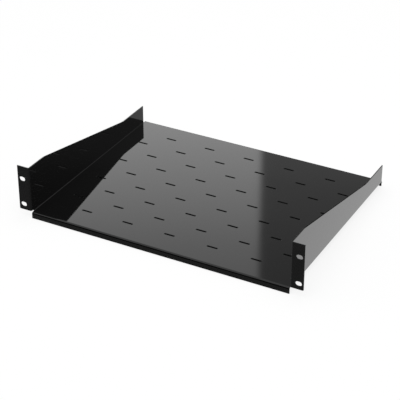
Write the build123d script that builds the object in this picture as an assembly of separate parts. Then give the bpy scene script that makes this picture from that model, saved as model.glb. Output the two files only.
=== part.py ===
from build123d import *
import os

# A vented cantilever rack shelf, folded from one steel sheet. Millimetres.
# X runs across the rack, Y into the rack and Z up. The origin is the centre of the
# pattern of ear holes, on the face of the ears that meets the rack's rails.

# The sheet
sheet = 1.5
bend_radius = 1.5  # inside radius of every fold

# The front panel that the two ears belong to
rack_units = 2
unit_height = 44.45
panel_clearance = 0.8  # by which the panel is lower than its rack units
panel_width = 482.6
ear_width = 19.8  # from the outer face of a side wall to the ear's tip
ear_corner_radius = 1.5
ear_hole_length = 10.0
ear_hole_height = 7.4
ear_hole_to_tip = 8.1

# The tray and its lips
depth = 350.0  # over the front and rear lips
lip_height = 10.6
lip_end_inset = 2.0  # from the outer face of a side wall to the end of a lip
relief_length = 7.0  # notch at each end of the fold between tray and side wall

# The outline of a side wall
shoulder_length = 41.3  # full height, from the front face
tail_length = 67.4  # level again, up to the rear edge of the wall
tail_height = 31.2  # above the tray
outline_radius = 50.0  # where the slope meets the level edges

# The ventilation slots, in rows that are staggered by half a pitch
slot_length = 18.2
slot_width = 3.5
slot_rows = 9
slots_in_a_row = 6  # in the longer rows, and one less in the rows between
front_slot_margin = 43.1  # from the front face to the first row
rear_slot_margin = 39.7
side_slot_margin = 37.5  # from a side wall to the last slot of a longer row

# Levels and faces that follow from the sizes above
panel_height = rack_units * unit_height - panel_clearance
panel_top = panel_height / 2
lip_bottom = -panel_height / 2
tray_top = lip_bottom + lip_height
fold_top = tray_top + bend_radius
front_face = -sheet
rear_face = front_face + depth
fold_front = front_face + relief_length
fold_rear = rear_face - relief_length
ear_tip = panel_width / 2
wall_outside = ear_tip - ear_width
wall_inside = wall_outside - sheet
lip_end = wall_outside - lip_end_inset


def folded_strip(plane, inside_corners, length):
    """A strip folded over the given corners of its inner side, and centred on the plane.

    The sheet lies to the left of the path through the corners.
    """
    with BuildPart() as strip:
        with BuildSketch(plane):
            with BuildLine():
                FilletPolyline(*inside_corners, radius=bend_radius)
                offset(amount=sheet, side=Side.LEFT)
            make_face()
        extrude(amount=length / 2, both=True)
    return strip.part


def tray_with_walls():
    """The tray and both side walls, as one channel that is still full height."""
    middle = Plane.XZ.offset(-(fold_front + fold_rear) / 2)
    corners = [
        (wall_inside, panel_top),
        (wall_inside, tray_top),
        (-wall_inside, tray_top),
        (-wall_inside, panel_top),
    ]
    return folded_strip(middle, corners, fold_rear - fold_front)


def lip(face, fold_end):
    """A lip folded down from the tray, from its outer face back to the end of the side folds."""
    inward = 1 if fold_end > face else -1
    inner_face = face + inward * sheet
    corners = [
        (inner_face, lip_bottom),
        (inner_face, tray_top - sheet),
        (fold_end, tray_top - sheet),
    ]
    if inward < 0:
        corners.reverse()
    return folded_strip(Plane.YZ, corners, 2 * lip_end)


def ear_with_wall_front():
    """The right ear and the front end of its side wall, above the notch in the fold."""
    corners = [
        (wall_outside, fold_front),
        (wall_outside, 0),
        (ear_tip, 0),
    ]
    corners.reverse()
    middle = Plane.XY.offset((fold_top + panel_top) / 2)
    ear = folded_strip(middle, corners, panel_top - fold_top)
    lower_corner = ear.edges().filter_by(Axis.Y).group_by(Axis.X)[-1].sort_by(Axis.Z)[0]
    ear = fillet(lower_corner, ear_corner_radius)
    return ear - ear_holes()


def ear_holes():
    """One oblong hole for each rack unit, at the unit's middle height."""
    return [
        Pos(ear_tip - ear_hole_to_tip, 0, (unit - (rack_units - 1) / 2) * unit_height)
        * Rot(90, 0, 0)
        * extrude(SlotOverall(ear_hole_length, ear_hole_height), sheet, both=True)
        for unit in range(rack_units)
    ]


def side_outline():
    """The side view that cuts the slope into both walls."""
    corners = [
        (front_face, panel_top),
        (front_face + shoulder_length, panel_top),
        (fold_rear - tail_length, tray_top + tail_height),
        (fold_rear, tray_top + tail_height),
    ]
    with BuildPart() as outline:
        with BuildSketch(Plane.YZ):
            with BuildLine():
                top = FilletPolyline(*corners, radius=outline_radius)
                Polyline(top @ 1, (fold_rear, lip_bottom), (front_face, lip_bottom), top @ 0)
            make_face()
        extrude(amount=panel_width, both=True)
    return outline.part


def ventilation_slots():
    """Every other row is the longer one, and the first and last rows are shorter."""
    pitch_across = 2 * (wall_inside - side_slot_margin) / (slots_in_a_row - 1)
    pitch_along = (depth - front_slot_margin - rear_slot_margin) / (slot_rows - 1)
    slot = extrude(SlotOverall(slot_length, slot_width), sheet, both=True)
    slots = []
    for row in range(slot_rows):
        count = slots_in_a_row - 1 + row % 2
        y = front_face + front_slot_margin + row * pitch_along
        for place in range(count):
            x = (place - (count - 1) / 2) * pitch_across
            slots.append(Pos(x, y, tray_top) * slot)
    return slots


ear = ear_with_wall_front()
walls = (tray_with_walls() + ear + mirror(ear, Plane.YZ)) & side_outline()
lips = lip(front_face, fold_front) + lip(rear_face, fold_rear)
shelf = walls + lips - ventilation_slots()

os.makedirs("parts", exist_ok=True)
export_step(shelf, "parts/shelf.step")
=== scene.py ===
"""Dresses a folded rack shelf in gloss black paint and sets it in a plain studio."""

import math

import bpy
from bpy.props import FloatProperty, FloatVectorProperty, IntProperty, PointerProperty
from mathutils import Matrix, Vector


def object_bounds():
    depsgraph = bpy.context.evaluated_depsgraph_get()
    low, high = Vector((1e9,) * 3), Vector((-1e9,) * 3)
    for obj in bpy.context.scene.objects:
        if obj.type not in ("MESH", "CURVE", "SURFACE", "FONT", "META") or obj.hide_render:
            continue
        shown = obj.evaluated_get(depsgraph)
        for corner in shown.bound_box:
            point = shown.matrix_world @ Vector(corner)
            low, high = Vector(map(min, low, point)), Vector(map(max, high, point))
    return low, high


bl_info = {
    "name": "Rack Shelf",
    "version": (1, 0, 0),
    "blender": (4, 5, 0),
    "location": "3D Viewport > Sidebar > Rack Shelf",
    "description": "Paints a folded rack shelf and sets it in a plain studio",
    "category": "Object",
}

SHELF = "shelf"
PAINT_SLOT = "gloss_black_paint"
SAME_PLACE = 1e-6  # corners of facets that lie closer than this are one, in metres
FLAT_ANGLE = math.radians(0.5)  # facets that turn by less than this are one flat face
CUT_ANGLE = math.radians(50)  # what turns by more than this is a cut edge and not a fold's facet
HAZE_DETAIL = 2.0
PEEL_DETAIL = 1.0
PAINTED_SHADE_LIFT = 0.0002  # from the floor up to the card on it, in metres
SENSOR_WIDTH = 36.0  # of the camera, in millimetres

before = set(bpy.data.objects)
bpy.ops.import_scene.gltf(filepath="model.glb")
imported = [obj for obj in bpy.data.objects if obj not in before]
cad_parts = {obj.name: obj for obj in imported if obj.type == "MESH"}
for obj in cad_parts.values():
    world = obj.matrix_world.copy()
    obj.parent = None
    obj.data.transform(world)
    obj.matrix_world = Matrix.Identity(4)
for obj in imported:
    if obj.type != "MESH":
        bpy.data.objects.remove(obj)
CAD_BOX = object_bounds()
FLOOR_LEVEL = CAD_BOX[0].z
CENTRE = (CAD_BOX[0] + CAD_BOX[1]) / 2


class Number:
    """A number socket that adds Math nodes to its graph when it is used in an expression."""

    def __init__(self, graph, socket):
        self.graph = graph
        self.socket = socket

    def __add__(self, other):
        return self.graph.maths("ADD", self, other)

    def __radd__(self, other):
        return self.graph.maths("ADD", other, self)

    def __mul__(self, other):
        return self.graph.maths("MULTIPLY", self, other)

    def __rmul__(self, other):
        return self.graph.maths("MULTIPLY", other, self)


class Graph:
    """A node tree that is emptied and then built by calls."""

    def __init__(self, tree):
        self.tree = tree
        tree.nodes.clear()

    def node(self, kind, settings=None, inputs=None):
        """Adds a node, makes its settings first and then fills its sockets with values or links."""
        made = self.tree.nodes.new(kind)
        for name, value in (settings or {}).items():
            setattr(made, name, value)
        for name, value in (inputs or {}).items():
            self.fill(made.inputs[name], value)
        return made

    def fill(self, socket, value):
        if isinstance(value, Number):
            value = value.socket
        if isinstance(value, bpy.types.NodeSocket):
            self.tree.links.new(value, socket)
        else:
            socket.default_value = value

    def maths(self, operation, *values):
        """A Math node on the values in their order."""
        made = self.node("ShaderNodeMath", {"operation": operation}, dict(enumerate(values)))
        return Number(self, made.outputs[0])

    def step(self, value, low, high, rise=1.0, shape="SMOOTHSTEP"):
        """Goes from nought to the rise as the value goes from low to high."""
        ranges = {"Value": value, "From Min": low, "From Max": high, "To Min": 0.0, "To Max": rise}
        made = self.node("ShaderNodeMapRange", {"interpolation_type": shape}, ranges)
        return Number(self, made.outputs["Result"])

    def profile(self, value, stops):
        """Goes straight from stop to stop, each a pair of a value and the level there.

        Before the first stop and past the last it stays level.
        """
        total = stops[0][1]
        for (low, start), (high, end) in zip(stops, stops[1:]):
            total = total + self.step(value, low, high, end - start, "LINEAR")
        return total

    def along(self, vector, direction):
        """How far a vector reaches along a direction."""
        made = self.node("ShaderNodeVectorMath", {"operation": "DOT_PRODUCT"}, {0: vector, 1: direction})
        return Number(self, made.outputs["Value"])

    def noise(self, position, grain, detail):
        """Seamless noise from 0 to 1 with grains of about the given size in metres."""
        made = self.node(
            "ShaderNodeTexNoise",
            {"noise_dimensions": "3D"},
            {"Vector": position, "Scale": 1 / grain, "Detail": detail},
        )
        return Number(self, made.outputs["Fac"])

    def blend(self, factor, first, second):
        """A number that goes from first to second with the factor."""
        made = self.node("ShaderNodeMix", {"data_type": "FLOAT"}, {"Factor": factor, "A": first, "B": second})
        return Number(self, made.outputs["Result"])

    def tint(self, factor, first, second):
        """A colour that goes from first to second with the factor.

        The node has sockets for every data type under the same names, so these go by number.
        """
        made = self.node("ShaderNodeMix", {"data_type": "RGBA"}, {0: factor, 6: first, 7: second})
        return made.outputs[2]


class ShelfPaint(bpy.types.PropertyGroup):
    colour: FloatVectorProperty(
        name="Paint colour",
        description="Colour of the paint under its gloss",
        subtype="COLOR",
        size=4,
        min=0.0,
        max=1.0,
        default=(0.0025, 0.0025, 0.0025, 1.0),
    )
    mottle: FloatProperty(
        name="Mottle",
        description="How far the paint's colour drifts to both sides over the sheet",
        subtype="FACTOR",
        default=0.35,
        min=0.0,
        max=1.0,
    )
    refraction: FloatProperty(
        name="Refractive index",
        description="How strongly the paint's surface mirrors",
        default=1.5,
        min=1.0,
        max=2.5,
    )
    roughness: FloatProperty(
        name="Roughness",
        description="Roughness of the paint where it is smoothest",
        subtype="FACTOR",
        default=0.03,
        min=0.0,
        max=1.0,
    )
    haze: FloatProperty(
        name="Haze",
        description="Roughness that comes and goes over the sheet",
        subtype="FACTOR",
        default=0.02,
        min=0.0,
        max=1.0,
    )
    haze_size: FloatProperty(
        name="Haze size",
        description="Size of the patches of haze",
        subtype="DISTANCE",
        default=0.07,
    )
    peel_size: FloatProperty(
        name="Orange peel size",
        description="Distance between the ripples that the paint dries with",
        subtype="DISTANCE",
        default=0.0035,
    )
    peel_height: FloatProperty(
        name="Orange peel height",
        description="Height of those ripples",
        subtype="DISTANCE",
        precision=7,
        default=4e-7,
    )
    edge_radius: FloatProperty(
        name="Edge radius",
        description="Radius that the paint leaves on the sheet's cut edges",
        subtype="DISTANCE",
        precision=5,
        default=0.00015,
    )
    edge_segments: IntProperty(
        name="Edge segments",
        description="Facets across each rounded edge",
        default=2,
        min=1,
    )


class ShelfStudio(bpy.types.PropertyGroup):
    floor_colour: FloatVectorProperty(
        name="Floor colour",
        description="Colour of the matt floor",
        subtype="COLOR",
        size=4,
        default=(0.95, 0.95, 0.95, 1.0),
    )
    floor_glow: FloatProperty(
        name="Floor glow",
        description="How far the floor is plain white to the camera, which makes the shadow faint",
        subtype="FACTOR",
        default=0.85,
        min=0.0,
        max=1.0,
    )
    floor_reach: FloatProperty(
        name="Floor reach",
        description="How far the floor reaches to each side",
        subtype="DISTANCE",
        default=12.0,
    )
    # The card under the tray is painted shade: a dark sheet laid where the tray's shadow falls, so the slots
    # show black.
    painted_shade_colour: FloatVectorProperty(
        name="Card colour",
        description="Colour of the card under the tray, which shows through the slots",
        subtype="COLOR",
        size=4,
        default=(0.03, 0.03, 0.03, 1.0),
    )
    # The card also dims the panels mirrored inside the slots: painted shade in the gloss.
    painted_shade_glass: FloatVectorProperty(
        name="Card glass",
        description="How much of the panels' light passes the card on its way to the gloss",
        subtype="COLOR",
        size=4,
        default=(0.3, 0.3, 0.3, 1.0),
    )
    painted_shade_margin: FloatVectorProperty(
        name="Card margin",
        description="How far inside the shelf's outline the black card under the tray ends",
        subtype="TRANSLATION",
        size=2,
        default=(0.0290, 0.0035),
    )
    even_light: FloatProperty(
        name="Even light",
        description="Brightness of the studio's even light on what is matt",
        default=0.6,
        min=0.0,
    )
    lamp_power: FloatProperty(
        name="Lamp power",
        description="Power of the soft lamp overhead",
        subtype="POWER",
        default=42.0,
    )
    lamp_size: FloatProperty(
        name="Lamp size",
        description="Width of the lamp, which makes its shadows soft",
        subtype="DISTANCE",
        default=3.0,
    )
    lamp_height: FloatProperty(
        name="Lamp height",
        description="Height of the lamp above the middle of the shelf",
        subtype="DISTANCE",
        default=2.5,
    )
    lens: FloatProperty(
        name="Lens",
        description="Focal length of the camera",
        subtype="DISTANCE_CAMERA",
        default=126.2,
    )
    camera_place: FloatVectorProperty(
        name="Camera place",
        description="Where the camera stands",
        subtype="TRANSLATION",
        default=(0.88848, -1.51422, 1.08465),
    )
    camera_aim: FloatVectorProperty(
        name="Camera direction",
        description="The direction in which the camera looks",
        subtype="DIRECTION",
        default=(-0.40766, 0.75858, -0.50830),
    )


def new_material(name):
    material = bpy.data.materials.new(name)
    material.use_nodes = True
    return material, Graph(material.node_tree)


def shade(colour, factor):
    """A lighter or darker colour."""
    return (*(channel * factor for channel in colour[:3]), 1.0)


def paint_material(paint):
    """Gloss black paint that mirrors the studio and ripples a little, like orange peel."""
    material, graph = new_material(PAINT_SLOT)
    position = graph.node("ShaderNodeTexCoord").outputs["Object"]
    haze = graph.noise(position, paint.haze_size, HAZE_DETAIL)
    colour = graph.tint(haze, shade(paint.colour, 1 - paint.mottle), shade(paint.colour, 1 + paint.mottle))
    ripples = graph.noise(position, paint.peel_size, PEEL_DETAIL)
    bump = graph.node(
        "ShaderNodeBump",
        inputs={"Strength": 1.0, "Distance": paint.peel_height, "Height": ripples},
    )
    shader = graph.node(
        "ShaderNodeBsdfPrincipled",
        inputs={
            "Base Color": colour,
            "IOR": paint.refraction,
            "Roughness": paint.roughness + paint.haze * haze,
            "Normal": bump.outputs["Normal"],
        },
    )
    graph.node("ShaderNodeOutputMaterial", inputs={"Surface": shader.outputs["BSDF"]})
    return material


def round_edges(sheet, paint):
    """Joins the sheet's loose facets and rounds its cut edges as a coat of paint does."""
    weld = sheet.modifiers.new("join_facets", "WELD")
    weld.merge_threshold = SAME_PLACE
    flatten = sheet.modifiers.new("flat_faces", "DECIMATE")
    flatten.decimate_type = "DISSOLVE"
    flatten.angle_limit = FLAT_ANGLE
    bevel = sheet.modifiers.new("painted_edges", "BEVEL")
    bevel.width = paint.edge_radius
    bevel.segments = paint.edge_segments
    bevel.limit_method = "ANGLE"
    bevel.angle_limit = CUT_ANGLE
    bevel.use_clamp_overlap = False
    bevel.loop_slide = False
    normals = sheet.modifiers.new("steady_normals", "WEIGHTED_NORMAL")
    normals.mode = "FACE_AREA"


class SHELF_OT_paint(bpy.types.Operator):
    """Round the sheet's cut edges and paint it gloss black"""

    bl_idname = "shelf.paint"
    bl_label = "Paint the Shelf"

    def execute(self, context):
        paint = context.scene.shelf_paint
        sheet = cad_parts[SHELF]
        material = paint_material(paint)
        sheet.data.materials.clear()
        sheet.data.materials.append(material)
        round_edges(sheet, paint)
        return {"FINISHED"}


# What the gloss mirrors, as seen from the shelf. Each soft panel reaches from one direction to
# another, in degrees to the left of straight back. Its brightness goes straight from pair to pair
# of a height, in degrees above the horizon, and the brightness there. Panels that overlap add up.
BRIGHT_BACK = (
    (18, 0.0),
    (20, 3.0),
    (24, 2.78),
    (28, 2.19),
    (30, 1.8),
    (32.4, 1.3),
    (38, 0.7),
    (43, 0.7),
    (50, 0.0),
)
DIM_BACK = (
    (17, 0.0),
    (20, 0.54),
    (28.6, 0.5),
    (29.4, 0.465),
    (29.9, 0.42),
    (33, 0.32),
    (42, 0.24),
    (50, 0.0),
)
DIM_RIGHT = (
    (17, 0.0),
    (20, 0.76),
    (28.4, 0.68),
    (29.3, 0.44),
    (31, 0.36),
    (37, 0.5),
    (42, 0.5),
    (50, 0.0),
)
LOW_SIDE = ((-28.5, 0.2), (-24, 0.9), (-8, 0.6), (-2, 0.0))
PANELS = (
    # the back, above the horizon, which the tray and the left wall show
    (25.4, 100.0, BRIGHT_BACK),
    (-12.0, 25.4, DIM_BACK),
    (-60.0, -12.0, DIM_RIGHT),
    # the left, the front and the right, above the horizon, which the folds show
    (100.0, 172.0, ((30, 0.0), (36, 0.95), (43, 0.95), (50, 0.0))),
    (172.0, 300.0, ((5, 0.0), (10, 0.3), (43, 0.3), (50, 0.0))),
    (183.0, 228.0, ((8, 0.0), (12, 1.2), (40, 0.8), (50, 0.0))),
    (265.0, 300.0, ((8, 0.0), (12, 1.6), (40, 0.8), (50, 0.0))),
    # below the horizon, which the walls, the ears and the front lip show
    (-27.0, 90.0, ((-24, 1.37), (-4, 0.0))),
    (-90.0, -27.0, ((-28.4, 0.85), (-27.5, 0.5), (-2, 0.5), (0, 0.0))),
    (90.0, 143.7, LOW_SIDE),
    (143.7, 172.0, ((-28.5, 0.2), (-27.0, 0.0))),
    (172.0, 270.0, LOW_SIDE),
)
OVERHEAD = ((43, 0.0), (50, 0.95))  # all round, from the tops of the panels up
PANEL_EDGE = 0.003  # half the width of a panel's soft edge, as a sine


def sideways(degrees):
    """The level direction that many degrees to the left of straight back."""
    angle = math.radians(degrees)
    return Vector((-math.sin(angle), math.cos(angle), 0))


def height_light(graph, direction, heights):
    """The brightness that goes through pairs of a height and a level."""
    stops = [(math.sin(math.radians(height)), level) for height, level in heights]
    return graph.profile(graph.along(direction, (0, 0, 1)), stops)


def panel_light(graph, direction, right, left, heights):
    """How bright one panel is in a direction, and nought outside its two edges."""
    past_right = graph.step(graph.along(direction, sideways(right + 90)), -PANEL_EDGE, PANEL_EDGE)
    short_of_left = graph.step(graph.along(direction, sideways(left - 90)), -PANEL_EDGE, PANEL_EDGE)
    return past_right * short_of_left * height_light(graph, direction, heights)


def studio_world(scene, studio):
    """White to the camera, panels on black to what is glossy, and even light to what is matt."""
    world = bpy.data.worlds.new("studio")
    world.use_nodes = True
    scene.world = world
    graph = Graph(world.node_tree)
    direction = graph.node("ShaderNodeTexCoord").outputs["Generated"]
    mirrored = height_light(graph, direction, OVERHEAD)
    for right, left, heights in PANELS:
        mirrored = mirrored + panel_light(graph, direction, right, left, heights)
    rays = graph.node("ShaderNodeLightPath")
    strength = graph.blend(rays.outputs["Is Glossy Ray"], studio.even_light, mirrored)
    strength = graph.blend(rays.outputs["Is Camera Ray"], strength, 1.0)
    backdrop = graph.node("ShaderNodeBackground", inputs={"Color": (1, 1, 1, 1), "Strength": strength})
    graph.node("ShaderNodeOutputWorld", inputs={"Surface": backdrop.outputs["Background"]})


def floor_material(studio):
    """White with a faint shadow to the camera, and clear to what is glossy, which sees the panels."""
    material, graph = new_material("studio_floor")
    matt = graph.node("ShaderNodeBsdfDiffuse", inputs={"Color": tuple(studio.floor_colour)})
    glow = graph.node("ShaderNodeEmission", inputs={"Color": (1, 1, 1, 1), "Strength": 1.0})
    clear = graph.node("ShaderNodeBsdfTransparent", inputs={"Color": (1, 1, 1, 1)})
    rays = graph.node("ShaderNodeLightPath")
    glowing = Number(graph, rays.outputs["Is Camera Ray"]) * studio.floor_glow
    seen = graph.node(
        "ShaderNodeMixShader",
        inputs={0: glowing, 1: matt.outputs["BSDF"], 2: glow.outputs["Emission"]},
    )
    mixed = graph.node(
        "ShaderNodeMixShader",
        inputs={0: rays.outputs["Is Glossy Ray"], 1: seen.outputs["Shader"], 2: clear.outputs["BSDF"]},
    )
    graph.node("ShaderNodeOutputMaterial", inputs={"Surface": mixed.outputs["Shader"]})
    return material


def painted_shade_material(studio):
    """Painted shade under the tray: matt black, and dark glass to what is glossy, which sees the panels dimly
    through it.
    """
    material, graph = new_material("painted_shade_card")
    matt = graph.node("ShaderNodeBsdfDiffuse", inputs={"Color": tuple(studio.painted_shade_colour)})
    clear = graph.node("ShaderNodeBsdfTransparent", inputs={"Color": tuple(studio.painted_shade_glass)})
    rays = graph.node("ShaderNodeLightPath")
    mixed = graph.node(
        "ShaderNodeMixShader",
        inputs={0: rays.outputs["Is Glossy Ray"], 1: matt.outputs["BSDF"], 2: clear.outputs["BSDF"]},
    )
    graph.node("ShaderNodeOutputMaterial", inputs={"Surface": mixed.outputs["Shader"]})
    return material


def add_object(name, data):
    made = bpy.data.objects.new(name, data)
    bpy.context.scene.collection.objects.link(made)
    return made


def add_level_sheet(name, low, high, level, material):
    """A level rectangle between two corners, which is part of the stage."""
    corners = [(low.x, low.y), (high.x, low.y), (high.x, high.y), (low.x, high.y)]
    mesh = bpy.data.meshes.new(name)
    mesh.from_pydata([(x, y, level) for x, y in corners], [], [(0, 1, 2, 3)])
    mesh.materials.append(material)
    add_object(name, mesh)


def add_floor(studio):
    """A wide floor that the shelf's lips stand on, and a black card of painted shade under the tray that
    shows through the slots.
    """
    reach = Vector((studio.floor_reach, studio.floor_reach))
    add_level_sheet("floor", -reach, reach, FLOOR_LEVEL, floor_material(studio))
    margin = Vector(studio.painted_shade_margin)
    low = CAD_BOX[0].xy + margin
    high = CAD_BOX[1].xy - margin
    # painted shade: a dark card laid in the tray's shadow, which the slots show as black
    add_level_sheet("painted_shade_card", low, high, FLOOR_LEVEL + PAINTED_SHADE_LIFT, painted_shade_material(studio))


def add_lamp(studio):
    """A wide lamp overhead that lights what is matt and doesn't show in the gloss."""
    lamp = bpy.data.lights.new("overhead_lamp", "AREA")
    lamp.shape = "DISK"
    lamp.size = studio.lamp_size
    lamp.energy = studio.lamp_power
    holder = add_object("overhead_lamp", lamp)
    holder.location = CENTRE + Vector((0, 0, studio.lamp_height))
    holder.visible_glossy = False
    holder.visible_camera = False


def add_camera(scene, studio):
    camera = bpy.data.cameras.new("camera")
    camera.lens = studio.lens
    camera.sensor_width = SENSOR_WIDTH
    holder = add_object("camera", camera)
    holder.location = Vector(studio.camera_place)
    holder.rotation_euler = Vector(studio.camera_aim).to_track_quat("-Z", "Y").to_euler()
    scene.camera = holder


class SHELF_OT_studio(bpy.types.Operator):
    """Set up the floor, the soft light and the camera"""

    bl_idname = "shelf.studio"
    bl_label = "Set Up the Studio"

    def execute(self, context):
        scene = context.scene
        studio = scene.shelf_studio
        scene.view_settings.view_transform = "Standard"
        studio_world(scene, studio)
        add_floor(studio)
        add_lamp(studio)
        add_camera(scene, studio)
        return {"FINISHED"}


class SHELF_PT_panel(bpy.types.Panel):
    bl_idname = "SHELF_PT_panel"
    bl_label = "Rack Shelf"
    bl_space_type = "VIEW_3D"
    bl_region_type = "UI"
    bl_category = "Rack Shelf"

    def draw(self, context):
        for title, group, operator in (
            ("Paint", context.scene.shelf_paint, SHELF_OT_paint),
            ("Studio", context.scene.shelf_studio, SHELF_OT_studio),
        ):
            box = self.layout.box()
            box.label(text=title)
            for name in group.bl_rna.properties.keys():
                if name not in ("rna_type", "name"):
                    box.prop(group, name)
            box.operator(operator.bl_idname)


CLASSES = (ShelfPaint, ShelfStudio, SHELF_OT_paint, SHELF_OT_studio, SHELF_PT_panel)


def register():
    for made in CLASSES:
        bpy.utils.register_class(made)
    bpy.types.Scene.shelf_paint = PointerProperty(type=ShelfPaint)
    bpy.types.Scene.shelf_studio = PointerProperty(type=ShelfStudio)


def unregister():
    del bpy.types.Scene.shelf_studio
    del bpy.types.Scene.shelf_paint
    for made in reversed(CLASSES):
        bpy.utils.unregister_class(made)


def main():
    register()
    bpy.ops.shelf.studio()
    bpy.ops.shelf.paint()


if __name__ == "__main__":
    main()
